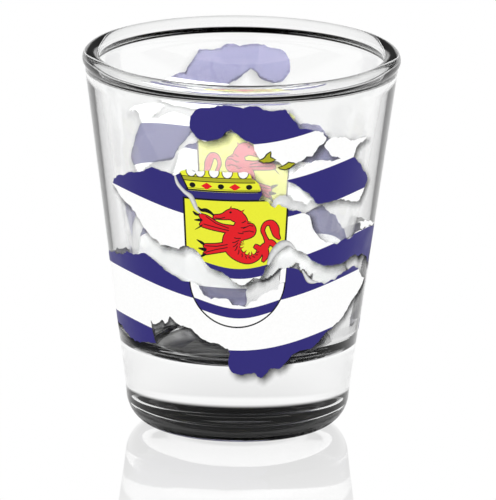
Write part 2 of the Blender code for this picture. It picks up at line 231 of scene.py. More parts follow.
# Print geometry, as (angle, height) on the unrolled wall: degrees from the front, and mm. Edges of
# stripes are (height, amplitude), and names in _LINE are half widths of a drawn line
MM_PER_DEGREE = 0.385
TEAR = 0.07
TEAR_STEP = 0.45
FACET = 360.0 / SEGMENTS
FILM_INNER = 0.008
FILM_OUTER = 0.030
PRINT_ANGLES = (-96, 97)
PRINT_HEIGHTS = (8.0, 58.0)
CORNER_MERGE = 0.0005
CORNER_CUT = 0.22
DOT_SIDES = 14
SHARP_ANGLE = 40
BACK_DROP = {"top": 1.7, "flap": 3.4, "middle": 1.3, "lower": 0.4}
MIDDLE_LEAN = (0.05, 0.027)
WAVE_RATE = 2.8
WAVE_STEP = 2.0
BAR_RATE = 6.0
SHIELD_CENTRE = (-1.7, 35.5)
SHIELD_MM_PER_DEGREE = 0.38
SHIELD_LEFT = -23.0
SHIELD_RIGHT = 19.6
SHIELD_TOP = 41.3
BOWL_CENTRE = -0.7
BOWL_HALF_ANGLE = 21.2
BOWL_TOP = 27.5
BOWL_DEPTH = 7.3
BAR = (21.7, 23.3)
CRESCENT = (28.3, 29.95)
CAP_EDGE = (52.6, 2.0)
UPPER_STRIPE_TOP = (45.5, 1.6)
UPPER_STRIPE_FOOT = (39.3, 1.6)
MIDDLE_STRIPE_TOP = (31.95, 1.67)
MIDDLE_STRIPE_FOOT = (25.5, 1.5)
LOWER_STRIPE_TOP = (17.7, 1.35)
MIDDLE_RIGHT_START = 26
WEDGE_END = -20

TOP_STRIP = [
    (-19.3, 53.7), (-18.8, 54.9), (-17.2, 55.8), (-15, 56.35), (-11.3, 56.5), (-8.4, 57),
    (-3.8, 57), (1, 56.6), (5.6, 57), (8.4, 56.3), (16.3, 56.3), (18, 55.4), (20.3, 54.2),
    (22.8, 52.8), (28.4, 52.4), (32.8, 51.8), (34.3, 50.9), (33.4, 50), (30.3, 49),
    (28.7, 48.1), (26.2, 48.2), (23.1, 47.4), (20.3, 46.8), (17, 46.9), (13.7, 47.8),
    (9, 47.9), (7.5, 48.2), (6.3, 48.9), (5, 50.6), (3.1, 51.1), (0, 51.8), (-1.9, 52.5),
    (-3.8, 53.1), (-5, 52.8), (-6.9, 51.8), (-10, 51.25), (-13.8, 50.9), (-16.6, 51.4),
    (-18.4, 52.4),
]
FLAP_STRIP = [
    (18.8, 44.4), (19.5, 45.1), (23, 46.1), (26, 46.8), (30, 47.35), (34, 47.2), (38, 46.75),
    (42.5, 47), (40, 47.4), (38, 47.6), (36.5, 48.2), (35, 48.9), (33.6, 49.6), (35.5, 50.5),
    (37, 50.7), (41, 50.6), (45, 50.1), (49, 49.5), (53, 49.6), (57, 49.3), (53, 48.9),
    (50.6, 48.1), (49.7, 46.8), (52, 46.1), (56, 44.6), (60, 43.2), (62, 42.3), (60.6, 41),
    (59.3, 40), (57.5, 39), (54, 39.1), (50, 39.6), (46, 40), (42, 40.15), (36, 40.05),
    (32.2, 40.2), (29.5, 41.4), (25.6, 42.6), (22.5, 43.7),
]
MIDDLE_STRIP = [
    (-63.1, 40.75), (-61.3, 41.8), (-54.6, 42.9), (-48, 44), (-43.8, 44.3), (-39.6, 45.1),
    (-36.9, 45.6), (-32.5, 45.2), (-26.3, 44.7), (-24.4, 45.2), (-23.5, 45.7), (-20.6, 46.1),
    (-15.4, 45.9), (-8, 46.1), (0.4, 46), (4, 45.6), (6, 44.6), (8.1, 43.3), (8.8, 42.3),
    (7.5, 41.4), (11.3, 41.1), (12.5, 40.4), (14.2, 40), (15.4, 40.6), (19, 39.9),
    (25.4, 39.1), (29.6, 38.2), (31.3, 36.5), (33.4, 35.2), (36.3, 34), (39.6, 33.3),
    (43.8, 32.9), (45.6, 32.6), (50.4, 33.25), (57.5, 33.6), (65.4, 33.6), (74.6, 33.2),
    (82, 32.9), (84.4, 31.5), (83, 29.5), (80.6, 27.4), (79, 27), (75.4, 28.2), (69.6, 29),
    (64.6, 29.4), (59.6, 29.9), (54.6, 29.4), (50.4, 29.1), (44.6, 29.1), (39.6, 29.4),
    (35.6, 30.1), (32.5, 30.7), (30.4, 31.6), (28.4, 32.1), (25.4, 32.6), (23, 33.3),
    (20.4, 34.1), (15.6, 33.5), (13.4, 32.6), (12.8, 31.3), (10.9, 29.75), (10.5, 29),
    (8.8, 28.3), (6.3, 28.5), (4.6, 27.9), (2.5, 27.3), (0.4, 27.3), (-2.5, 27.9),
    (-4.4, 28.6), (-6.9, 29.3), (-10.4, 29.7), (-13.8, 30.4), (-16.3, 32), (-18.8, 32.8),
    (-21.9, 33.3), (-24.4, 33.2), (-26.3, 32.6), (-30.4, 32.8), (-35.4, 32.8), (-37.5, 33.6),
    (-40.6, 34), (-43.8, 35.1), (-48.1, 37.3), (-50.6, 38.1), (-54.4, 38.6), (-57.5, 39.2),
    (-59.6, 40),
]
LOWER_STRIP = [
    (-94, 26.6), (-84.6, 27.6), (-79.6, 28.2), (-70.4, 29.1), (-62, 29.25), (-52, 30),
    (-45.4, 30.8), (-41.3, 30.4), (-35.4, 29.25), (-32.5, 28.5), (-28.8, 28), (-24.6, 27.3),
    (-19.4, 27.2), (-17.2, 26.3), (-15.4, 25.3), (-8.8, 24.9), (-4.4, 24.8), (-1.9, 23.9),
    (3.1, 23.6), (5.4, 24.5), (8.1, 24.7), (10.4, 25.6), (13.1, 26.1), (17.5, 26.4),
    (18.1, 27.5), (18.5, 29.7), (20.6, 29.9), (24.6, 29.7), (26.9, 29.3), (28.8, 28.6),
    (30.6, 27.6), (33.1, 26.8), (38.1, 26.7), (41, 26.3), (44.4, 26.8), (47.5, 26.6),
    (48.8, 27.2), (52.5, 27.6), (59.4, 28), (62.5, 27.6), (67.5, 26.4), (71.3, 25.4),
    (77.5, 24.7), (74.6, 23.8), (69.6, 23.1), (64.6, 22.3), (60.6, 21.2), (57.5, 20.1),
    (52.5, 19.2), (48.1, 18.4), (42.5, 17.2), (39.6, 16.4), (36.9, 15.8), (28.8, 15.5),
    (26.3, 15.1), (24.4, 14.3), (21.9, 13.4), (19.4, 13.1), (16.3, 13.25), (14.4, 12.5),
    (11.3, 11.7), (9.4, 12), (8.1, 12.6), (5.6, 12.5), (1.3, 12.25), (-1.9, 12.5),
    (-4.1, 13.3), (-4.5, 14.8), (-4.6, 16.6), (-9.4, 17.4), (-16.3, 17.9), (-19.4, 18.7),
    (-22.5, 19.6), (-27.5, 19.8), (-30.4, 20.3), (-33.1, 21.1), (-34.2, 20.2), (-36, 19.7),
    (-37.5, 20.3), (-40.6, 19.5), (-43.4, 19.2), (-44.6, 19.8), (-44.4, 18.4), (-43.4, 16.6),
    (-42.5, 16.1), (-46.3, 15.9), (-52.5, 15.6), (-58.8, 15.3), (-62.5, 15.5), (-66.3, 16),
    (-71.3, 16.5), (-77.5, 16.8), (-84, 16.5), (-93.4, 15.9), (-94.4, 19), (-93, 23),
]
CORONET = [(-20.8, 42.6), (-22.2, 43.8), (-24, 45.3), (-24, 47), (5.4, 47), (9.4, 43.3),
           (7, 42.6)]
CORONET_LINES = [
    ([(-22, 42.75), (8.4, 42.75)], 0.12), ([(-23, 44.25), (6, 44.25)], 0.07),
    ([(-23.6, 44.95), (5.2, 44.95)], 0.06), ([(-22, 43.05), (8, 43.05)], 0.04),
    ([(-20.8, 42.6), (-22.2, 43.8), (-24, 45.3)], 0.12),
]
CORONET_BAND = [(-24, 44.3), (6, 44.3), (5.4, 44.9), (-24, 44.9)]
GEMS = (-19, -7.5, 3.6)
GEM_HEIGHT = 43.55
GEM_HALF_AXES = (1.25, 0.42)
LOZENGES = (-13.2, -2)
LOZENGE_HALF_WIDTH = 2.3
LOZENGE_HEIGHTS = (42.95, 43.5, 44.1)
PEARLS = (-19.4, -15.8, -10.2, -5, 1.2)
PEARL_HEIGHT = 45.85
PEARL_HALF_AXES = (1.9, 0.85)
PEARL_LINE = 0.14
TAG = [(17.9, 27.4), (18.3, 30.2), (20.7, 30.2), (20.5, 27.5)]
TAG_LINE = 0.12
CHARGE_LINE = 0.16
BOWL_LINE = (-0.12, 0.13)
FRAME_FOOT = 29
FRAME_OVERHANG = 0.4
FRAME_SIDE_LINE = 0.16
FRAME_TOP_LINE = 0.15
FLAKE = [(61, 35.2), (64, 34.9), (66.5, 35.05), (70, 34.5), (75, 34.0), (80, 33.4), (73, 33.7),
         (66, 33.95), (62, 34.0)]
SCRAPS = [
    [(7.2, 47.9), (8.9, 48.2), (10.2, 48.9), (11.6, 49.3), (11.4, 48.4), (13.4, 48.0),
     (11.4, 47.7), (9.0, 47.6)],
    [(14.9, 46.6), (17.0, 46.9), (18.9, 47.4), (21.6, 47.2), (19.9, 46.7), (17.6, 46.35)],
]
SCRAP_LIFTS = (0.038, 0.05)
SCRAP_EDGE_LIFTS = (0.031, 0.036)
SCRAP_EDGE = 0.2

# The charge and its fins, as (x, y[, half width]) in mm from the shield's middle
CHARGE_BODY = [
    (-3.4, 3.0, 0.3), (-2.0, 3.1, 0.45), (-0.4, 3.5, 0.95), (0.9, 2.5, 0.9), (0.6, 0.9, 1.1),
    (-0.5, -0.6, 1.4), (-0.4, -2.2, 1.15), (0.8, -3.5, 0.8), (2.3, -4.0, 0.6), (3.6, -3.4, 0.5),
    (3.9, -2.3, 0.4), (3.1, -1.7, 0.3),
]
BACK_FIN = [(0.6, 1.6), (2.6, 2.2), (3.3, 1.0), (2.9, -0.2), (0.4, -0.9)]
UPPER_FIN = [(0.4, 1.6), (-2.4, 1.8), (-4.4, 3.2), (-5.9, 3.4), (-5.2, 2.2), (-5.8, 1.4),
             (-4.0, 0.9), (-0.4, 0.3)]
LOWER_FIN = [(-0.2, -0.8), (-3.0, -1.5), (-5.3, -1.6), (-4.7, -2.6), (-5.4, -3.5), (-3.2, -3.0),
             (-0.4, -2.4)]
FROND = [
    (4.5, -4.3, 0.2), (4.9, -3.3, 0.45), (4.6, -2.2, 0.65), (5.1, -1.3, 0.4), (4.7, -0.2, 0.22),
    (4.3, 0.9, 0.26), (4.7, 1.9, 0.3), (5.6, 2.0, 0.45), (6.2, 1.1, 0.6), (6.5, 0.1, 0.45),
    (7.1, -0.7, 0.12),
]
TONGUE = [
    (-3.3, 3.2, 0.12), (-3.9, 3.7, 0.26), (-4.6, 4.0, 0.34), (-5.3, 4.0, 0.24), (-5.8, 4.5, 0.06),
]
CLAWS = [
    [(-5.3, 3.1), (-6.9, 3.9), (-6.3, 2.9)], [(-5.1, 2.0), (-6.9, 2.2), (-5.2, 2.7)],
    [(-5.3, 1.2), (-6.8, 0.4), (-5.0, 1.8)], [(-4.9, -1.3), (-6.6, -0.8), (-4.9, -2.1)],
    [(-4.5, -2.2), (-6.4, -2.3), (-4.7, -3.0)], [(-5.0, -3.0), (-6.3, -4.3), (-4.5, -3.4)],
]
FROND_LEAF = [
    (4.9, -1.7, 0.15), (5.5, -1.2, 0.4), (6.2, -1.6, 0.35), (6.5, -2.4, 0.1),
]
SPIKE_REACH = 0.55
DETAIL_LINE = 0.075
EYE = (-0.75, 3.85, 0.19, 0.17)

# Curled paper edges, as (angle, height, half width); lifts in mm, tones from 0 black to 1 white
CURLS = [
    [(-26.3, 44.8, 0.15), (-25.3, 43.5, 0.3), (-22.6, 42.3, 0.32), (-20, 41.6, 0.42),
     (-18.6, 40.5, 0.4), (-17.6, 39.6, 0.3), (-15.8, 38.9, 0.1)],
    [(12.4, 30.6, 0.2), (13.6, 31.8, 0.5), (15.4, 32.9, 0.7), (18.2, 33.8, 0.75), (21, 33.9, 0.4),
     (24, 33.0, 0.15)],
    [(28.4, 29.2, 0.12), (30.2, 28.2, 0.3), (32, 27.4, 0.4), (34.4, 27.0, 0.3), (37, 26.9, 0.1)],
]
CURL_COLUMNS = 7
CURL_LIFT = 0.034
CURL_RISE = 0.12
CURL_DARK = 0.25
CURL_LIGHT = 0.6
CURL_CREST = 0.7

# Printed shadows: shifts as (degrees, mm), blurs in mm, depths from 0 clear to 1 black
SHADE_ANGLES = (-98, 98)
SHADE_HEIGHTS = (10, 59)
SHADE_CELL = (0.75, 0.25)
SHADE_LIFT = 0.004
SHADE_SHIFT = (1.7, -0.65)
SHADE_BLUR = 1.05
SHADE_DEPTH = {"front": 0.74, "back": 0.22}
EDGE_SHIFT = (0.7, -0.25)
EDGE_BLUR = 0.4
EDGE_DEPTH = {"front": 0.85, "back": 0.26}
SHADE_POWER = 1.5
SHADE_LEAST = 0.01
SHADE_UNDER_STRIP = 0.12
FAR = 99.0

# The torn hole at the lower left: grainy inside, with a dark rim along the strip's edge
HOLE = [(-44.5, 20), (-40, 20.4), (-34, 21.2), (-28, 20), (-18, 18.9), (-6, 17.4), (-10, 17.0),
        (-22, 17.6), (-32, 18.0), (-37, 17.2), (-42.5, 16.4)]
HOLE_GRAIN = 0.35
HOLE_SOFT = 0.7
HOLE_RIM = 0.9
HOLE_EDGE = 0.75
HOLE_EDGE_SHIFT = 0.2
HOLE_REACH = (1.2, 0.6)
HOLE_FOOT = 17.2
HOLE_RIGHT = -12

# Grain of the inks, as the scale and the detail of a noise
INK_GRAIN = (2600, 4)
INK_CLOUDS = (260, 3)
PAPER_GRAIN = (1800, 4)
SHADE_GRAIN = (900, 5)
NOISE_RANGE = (0.3, 0.7)
INK_SPECULAR = 0.12


def wave(edge, angle):
    height, amplitude = edge
    return height - amplitude * np.cos(np.radians(WAVE_RATE * angle))


def wave_line(edge):
    return [(a, float(wave(edge, a))) for a in np.arange(*PRINT_ANGLES, WAVE_STEP)]


def bar_shift(angle):
    """How far the shield's bars rise at an angle, from their lowest point at the front."""
    return 1.0 - math.cos(math.radians(BAR_RATE * angle))


def bar_outline(low, high):
    angles = [SHIELD_LEFT + (SHIELD_RIGHT - SHIELD_LEFT) * i / 20 for i in range(21)]
    return ([(a, high + bar_shift(a)) for a in angles]
            + [(a, low + bar_shift(a)) for a in reversed(angles)])


def bowl_outline(shrink):
    """The shield's round lower end."""
    half_angle = BOWL_HALF_ANGLE - shrink / MM_PER_DEGREE
    arc = ellipse_arc((BOWL_CENTRE, BOWL_TOP), (half_angle, BOWL_DEPTH - shrink), 180, 360, 36)
    return [(arc[0][0], BOWL_TOP + 4)] + arc + [(arc[-1][0], BOWL_TOP + 4)]


def shield_outline():
    angles = [SHIELD_RIGHT + (SHIELD_LEFT - SHIELD_RIGHT) * i / 20 for i in range(21)]
    foot = [(a, CRESCENT[1] + bar_shift(a)) for a in angles]
    return [(SHIELD_LEFT, SHIELD_TOP), (SHIELD_RIGHT, SHIELD_TOP)] + foot


def stroke(points, scale=1.0):
    """The outline of a brush stroke; scale is mm per unit of x."""
    left, right = [], []
    for i, (x, y, half_width) in enumerate(points):
        x0, y0, _ = points[max(i - 1, 0)]
        x1, y1, _ = points[min(i + 1, len(points) - 1)]
        dx, dy = (x1 - x0) * scale, y1 - y0
        length = math.hypot(dx, dy)
        across = (-dy / length * half_width / scale, dx / length * half_width)
        left.append((x + across[0], y + across[1]))
        right.append((x - across[0], y - across[1]))
    return left + list(reversed(right))


def line(points, half_width, scale=MM_PER_DEGREE):
    return stroke([(x, y, half_width) for x, y in points], scale)


def stretches(outline):
    """The stretches of a closed outline, as pairs of points."""
    return list(zip(outline, outline[1:] + outline[:1]))


def softened(outline):
    """Each corner cut off twice, for a rounder outline."""
    for _ in range(2):
        out = []
        for (x0, y0), (x1, y1) in stretches(outline):
            cut_x, cut_y = (x1 - x0) * CORNER_CUT, (y1 - y0) * CORNER_CUT
            out += [(x0 + cut_x, y0 + cut_y), (x1 - cut_x, y1 - cut_y)]
        outline = out
    return outline


def on_shield(outline):
    """An outline in mm from the shield's middle, as angles and heights."""
    left, up = SHIELD_CENTRE
    return [(left + x / SHIELD_MM_PER_DEGREE, up + y) for x, y in outline]


def dot(x, y, half_x, half_y):
    return ellipse_arc((x, y), (half_x, half_y), 0, 360, DOT_SIDES)[:-1]


def grown(outline, distance):
    """An outline moved outwards along its own normals."""
    area = sum(x0 * y1 - x1 * y0 for (x0, y0), (x1, y1) in stretches(outline))
    side = 1 if area > 0 else -1
    out = []
    for i, (x, y) in enumerate(outline):
        x0, y0 = outline[i - 1]
        x1, y1 = outline[(i + 1) % len(outline)]
        dx, dy = (x1 - x0) * MM_PER_DEGREE, y1 - y0
        length = math.hypot(dx, dy) or 1.0
        out.append((x + side * dy / length * distance / MM_PER_DEGREE,
                    y - side * dx / length * distance))
    return out


def torn(outline, rng):
    """The outline with each stretch broken up like torn paper."""
    out = []
    waiting = stretches(outline)[::-1]
    while waiting:
        (x0, y0), (x1, y1) = waiting.pop()
        dx, dy = (x1 - x0) * MM_PER_DEGREE, y1 - y0
        length = math.hypot(dx, dy)
        if length < TEAR_STEP:
            out.append((x0, y0))
            continue
        shift = rng.gauss(0, TEAR)
        middle = ((x0 + x1) / 2 - dy * shift / MM_PER_DEGREE, (y0 + y1) / 2 + dx * shift)
        waiting += [(middle, (x1, y1)), ((x0, y0), middle)]
    return out


def inside(outline, x, y):
    """Whether points are inside an outline, counting the stretches to their right."""
    hit = np.zeros(x.shape, bool)
    for (x0, y0), (x1, y1) in stretches(outline):
        if y0 != y1:
            hit ^= ((y0 > y) != (y1 > y)) & (x < x0 + (x1 - x0) * (y - y0) / (y1 - y0))
    return hit


def distance_to(outline, x, y):
    """Distance in mm from points to an outline, negative inside it."""
    best = np.full(x.shape, FAR)
    for (x0, y0), (x1, y1) in stretches(outline):
        dx, dy = (x1 - x0) * MM_PER_DEGREE, y1 - y0
        px, py = (x - x0) * MM_PER_DEGREE, y - y0
        t = np.clip((px * dx + py * dy) / (dx * dx + dy * dy), 0, 1)
        best = np.minimum(best, np.hypot(px - t * dx, py - t * dy))
    return np.where(inside(outline, x, y), -best, best)


def in_any(*outlines):
    return lambda x, y: np.logical_or.reduce([inside(o, x, y) for o in outlines])


def in_both(outlines, around):
    """A test for points in any of the outlines that are in the one around them too."""
    return lambda x, y: in_any(*outlines)(x, y) & in_any(around)(x, y)


def wall_point(angle, height, lift):
    turn = math.radians(angle)
    radius = wall_radius(height) + lift
    return (radius * math.sin(turn) * MM, -radius * math.cos(turn) * MM, height * MM)


def new_object(name, vertices, faces, material):
    data = bpy.data.meshes.new(name)
    data.from_pydata(vertices, [], faces)
    data.materials.append(material)
    data.shade_smooth()
    data.set_sharp_from_angle(angle=math.radians(SHARP_ANGLE))
    ob = bpy.data.objects.new(name, data)
    bpy.context.scene.collection.objects.link(ob)
    return ob


def set_attribute(ob, name, values):
    """Give each vertex a number that the materials read."""
    ob.data.attributes.new(name, "FLOAT", "POINT").data.foreach_set("value", values)


def drop_of(strip, angle):
    """How far a point of the back print stands below the same point of the front one."""
    if strip != "middle":
        return BACK_DROP[strip]
    left, right = MIDDLE_LEAN
    return BACK_DROP[strip] - angle * (left if angle < 0 else right)


def placed(point, lift, side, strip):
    """A wall point on one side's print; the back print's strips stand lower."""
    if side == "front":
        return wall_point(point[0], point[1], lift)
    return wall_point(point[0] + 180.0, point[1] - drop_of(strip, point[0]), lift)


def film(name, corners, triangles, material, side, strip, lifts=(FILM_INNER, FILM_OUTER)):
    """A closed film over some triangles of the unrolled wall."""
    used = sorted({i for t in triangles for i in t})
    place = {i: k for k, i in enumerate(used)}
    n = len(used)
    vertices = [placed(corners[i], lifts[1], side, strip) for i in used]
    vertices += [placed(corners[i], lifts[0], side, strip) for i in used]
    faces, directed = [], set()
    for a, b, c in triangles:
        a, b, c = place[a], place[b], place[c]
        faces.append((a, b, c))
        faces.append((c + n, b + n, a + n))
        directed.update(((a, b), (b, c), (c, a)))
    for a, b in sorted(directed):
        if (b, a) not in directed:
            faces.append((b, a, a + n, b + n))
    ob = new_object(name, vertices, faces, material)
    set_attribute(ob, "inner", [0.0] * n + [1.0] * n)
    return ob


def cut(strip, lines, paints):
    """Triangulate a strip along all its lines; return corners and triangles by paint name."""
    points, edges = [], []
    for path in [strip + strip[:1]] + lines:
        first = len(points)
        points += path
        edges += [(first + i, first + i + 1) for i in range(len(path) - 1)]
    angles = [x for x, _ in strip]
    low, high = PRINT_HEIGHTS
    for i in range(math.floor(min(angles) / FACET), math.ceil(max(angles) / FACET) + 1):
        edges.append((len(points), len(points) + 1))
        points += [(i * FACET, low), (i * FACET, high)]
    result = delaunay_2d_cdt([Vector(p) for p in points], edges, [], 0, CORNER_MERGE)
    corners = [tuple(v) for v in result[0]]
    triangles = np.array(result[2])
    flat = np.array(corners)
    x, y = flat[triangles].mean(axis=1).T
    free = inside(strip, x, y)
    by_paint = {}
    for name, test in paints:
        mine = free & test(x, y)
        free &= ~mine
        if mine.any():
            chosen = [tuple(int(i) for i in t) for t in triangles[mine]]
            by_paint.setdefault(name, []).extend(chosen)
    return corners, by_paint


def everywhere(x, y):
    return np.ones(x.shape, bool)


def above(edge, left=-180, right=180):
    return lambda x, y: (y > wave(edge, x)) & (x > left) & (x < right)


def below(edge, left=-180, right=180):
    return lambda x, y: (y < wave(edge, x)) & (x > left) & (x < right)


def charge_shapes():
    body = stroke(smooth_line(CHARGE_BODY, 5))
    fins = [softened(f) for f in (BACK_FIN, UPPER_FIN, LOWER_FIN)]
    fronds = [stroke(smooth_line(f, 5)) for f in (FROND, FROND_LEAF)]
    return [on_shield(o) for o in [body] + fins + fronds + crest_spikes()]


def step(points, i):
    """The unit step from a point of a path to the next one."""
    x, y, _ = points[i]
    x1, y1, _ = points[i + 1]
    length = math.hypot(x1 - x, y1 - y)
    return (x1 - x) / length, (y1 - y) / length


def crest_spikes():
    """Swept spikes along the back of the charge, from its neck to its tail."""
    spikes = []
    smooth = smooth_line(CHARGE_BODY, 3)
    for i in range(5, len(smooth) - 8, 2):
        x, y, half_width = smooth[i]
        tx, ty = step(smooth, i)
        reach = half_width + SPIKE_REACH
        spikes.append([(x - tx * 0.3, y - ty * 0.3), (x + tx * 0.35, y + ty * 0.35),
                       (x - ty * reach + tx * 0.4, y + tx * reach + ty * 0.4)])
    return spikes


def charge_details():
    """Mouth, fin rays, belly rings, eye, tongue and claws, in black."""
    paths = [[(-3.2, 2.85), (-2.4, 2.75), (-1.6, 3.0)],
             [(-4.6, 3.0), (-3.0, 1.9), (-1.0, 1.2)],
             [(-5.0, 1.7), (-3.0, 1.25), (-1.0, 0.8)],
             [(-4.8, -1.9), (-3.0, -1.9), (-1.2, -1.5)],
             [(-4.8, -3.0), (-3.0, -2.4), (-1.2, -2.0)],
             [(1.2, 1.2), (2.2, 1.7), (2.8, 1.6)],
             [(1.1, 0.6), (2.2, 0.8), (2.9, 0.6)]]
    smooth = smooth_line(CHARGE_BODY, 2)
    for i in range(6, len(smooth) - 3):
        x, y, w = smooth[i]
        tx, ty = step(smooth, i)
        paths.append([(x + (-ty * s + tx * b) * w * 0.8, y + (tx * s + ty * b) * w * 0.8)
                      for s, b in ((0.1, 0.5), (0.5, 0.38), (1.0, 0.0))])
    shapes = [line(p, DETAIL_LINE, 1.0) for p in paths]
    shapes.append(dot(*EYE))
    shapes.append(stroke(smooth_line(TONGUE, 4)))
    shapes += [softened(claw) for claw in CLAWS]
    return [on_shield(o) for o in shapes]


def middle_paints():
    """The lines of the middle strip, and its paints: each takes what those before it left."""
    crescent = bar_outline(*CRESCENT)
    shield = shield_outline()
    charge = charge_shapes()
    details = charge_details()
    edge = [grown(o, CHARGE_LINE) for o in charge]
    frame_lines = [line([(a, FRAME_FOOT), (a, SHIELD_TOP)], FRAME_SIDE_LINE)
                   for a in (SHIELD_LEFT, SHIELD_RIGHT)]
    frame_lines.append(line([(SHIELD_LEFT - FRAME_OVERHANG, SHIELD_TOP),
                             (SHIELD_RIGHT + FRAME_OVERHANG, SHIELD_TOP)], FRAME_TOP_LINE))
    gems = [dot(a, GEM_HEIGHT, *GEM_HALF_AXES) for a in GEMS]
    low, middle, high = LOZENGE_HEIGHTS
    lozenges = [[(a - LOZENGE_HALF_WIDTH, middle), (a, high), (a + LOZENGE_HALF_WIDTH, middle),
                 (a, low)] for a in LOZENGES]
    coronet_lines = [line(path, half_width) for path, half_width in CORONET_LINES]
    pearls = [dot(a, PEARL_HEIGHT, *PEARL_HALF_AXES) for a in PEARLS]
    pearl_edges = [grown(p, PEARL_LINE) for p in pearls]
    shapes = ([shield, crescent, CORONET] + charge + details + edge + frame_lines + gems
              + lozenges + coronet_lines + [CORONET_BAND] + pearls + pearl_edges)
    lines = [wave_line(UPPER_STRIPE_FOOT), wave_line(MIDDLE_STRIPE_TOP)]
    paints = [
        ("black_lines", in_any(*details)),
        ("red_charge", in_any(*charge)),
        ("black_lines", in_any(*edge)),
        ("black_lines", in_any(*frame_lines)),
        ("yellow_shield", in_any(shield)),
        ("navy_crescent", in_any(crescent)),
        ("black_lines", in_any(*gems)),
        ("red_charge", in_any(*lozenges)),
        ("black_lines", in_any(*coronet_lines)),
        ("white_middle", in_both(pearls, CORONET)),
        ("black_lines", in_both(pearl_edges, CORONET)),
        ("olive_band", in_both([CORONET_BAND], CORONET)),
        ("yellow_coronet", in_any(CORONET)),
        ("navy_middle_right", below(MIDDLE_STRIPE_TOP, left=MIDDLE_RIGHT_START)),
        ("navy_middle_left", above(UPPER_STRIPE_FOOT)),
        ("white_middle", everywhere),
    ]
    return lines + [o + o[:1] for o in shapes], paints


def lower_paints():
    """The lines of the lower strip and its paints."""
    bowl, hollow = (bowl_outline(shrink) for shrink in BOWL_LINE)
    bar = bar_outline(*BAR)
    tag_line = grown(TAG, TAG_LINE)
    lines = [wave_line(MIDDLE_STRIPE_FOOT), wave_line(LOWER_STRIPE_TOP)]
    paints = [
        ("white_lower", in_any(TAG)),
        ("black_outline", in_any(tag_line)),
        ("navy_bar", in_both([bar], hollow)),
        ("white_lower", in_any(hollow)),
        ("black_outline", in_any(bowl)),
        ("navy_lower_left", above(MIDDLE_STRIPE_FOOT, right=0)),
        ("navy_lower_right", above(MIDDLE_STRIPE_FOOT, left=0)),
        ("navy_wedge", below(LOWER_STRIPE_TOP, right=WEDGE_END)),
        ("navy_foot", below(LOWER_STRIPE_TOP, left=WEDGE_END)),
        ("white_lower", everywhere),
    ]
    return lines + [o + o[:1] for o in (bowl, hollow, bar, TAG, tag_line)], paints


def finish_piece(piece, node):
    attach(piece, "root")
    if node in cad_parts:
        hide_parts(node)


def make_strip(outline, strip, lines, paints):
    """The films of one torn strip, on both sides of the glass."""
    corners, by_paint = cut(outline, lines, paints)
    for paint, triangles in by_paint.items():
        ink = paint.split("_")[0]
        for side in ("front", "back"):
            name = f"{side}_{paint}"
            piece = film("print_" + name, corners, triangles, inks[ink], side, strip)
            finish_piece(piece, name)


def make_scrap(name, ragged, ink, strip):
    """A loose bit of paper; the gold ones have a dark edge behind them."""
    layers = [(name, ragged, ink, (FILM_INNER, FILM_OUTER))]
    if ink == "olive":
        layers = [(name, ragged, ink, SCRAP_LIFTS),
                  (name + "_edge", grown(ragged, SCRAP_EDGE), "black", SCRAP_EDGE_LIFTS)]
    for layer, area, layer_ink, lifts in layers:
        corners, by_paint = cut(area, [], [("all", everywhere)])
        for side in ("front", "back"):
            piece = film(f"print_{side}_{layer}", corners, by_paint["all"], inks[layer_ink],
                         side, strip, lifts)
            finish_piece(piece, layer)


def make_prints():
    rng = random.Random(7)
    strips = {name: torn(outline, rng) for name, outline in STRIPS.items()}
    paints = {
        "top": ([wave_line(CAP_EDGE)], [("navy_cap", above(CAP_EDGE)), ("white_top", everywhere)]),
        "flap": ([wave_line(UPPER_STRIPE_TOP), wave_line(UPPER_STRIPE_FOOT)],
                 [("white_flap", above(UPPER_STRIPE_TOP)), ("white_flap", below(UPPER_STRIPE_FOOT)),
                  ("navy_flap", everywhere)]),
        "middle": middle_paints(),
        "lower": lower_paints(),
    }
    for strip, (lines, rules) in paints.items():
        make_strip(strips[strip], strip, lines, rules)
    make_scrap("flake", torn(FLAKE, rng), "white", "middle")
    make_scrap("scrap_left", torn(SCRAPS[0], rng), "olive", "top")
    make_scrap("scrap_right", torn(SCRAPS[1], rng), "olive", "top")
    for side in ("front", "back"):
        for i, curl in enumerate(CURLS):
            finish_piece(make_curl(f"print_{side}_curl_{i}", curl, side), "curl")
        finish_piece(make_shade(f"print_{side}_shade", side), "shade")


def make_curl(name, points, side):
    """A curled paper edge: a low ridge, light along its crest and dark down its sides."""
    path = smooth_line(points, 6)
    vertices, tones, faces = [], [], []
    both_edges = stroke(path, MM_PER_DEGREE)
    count = len(path)
    for i in range(count):
        (x0, y0), (x1, y1) = both_edges[i], both_edges[2 * count - 1 - i]
        for k in range(CURL_COLUMNS):
            t = k / (CURL_COLUMNS - 1)
            rise = math.sin(math.pi * t)
            vertices.append(placed((x0 + (x1 - x0) * t, y0 + (y1 - y0) * t),
                                   CURL_LIFT + CURL_RISE * rise, side, "middle"))
            tones.append(CURL_DARK + CURL_LIGHT * rise ** CURL_CREST * (0.6 + 0.4 * t))
    for i in range(count - 1):
        for k in range(CURL_COLUMNS - 1):
            a = i * CURL_COLUMNS + k
            faces.append((a, a + CURL_COLUMNS, a + CURL_COLUMNS + 1, a + 1))
    ob = new_object(name, vertices, faces, inks["grey"])
    set_attribute(ob, "tone", tones)
    return ob


def shadow_of(outline, shift, blur, depth, x, y):
    """The strength of an outline's soft shadow at points."""
    moved = distance_to(outline, x - shift[0], y - shift[1])
    t = np.clip((blur - moved) / (2 * blur), 0, 1)
    return depth * t * t * (3 - 2 * t)


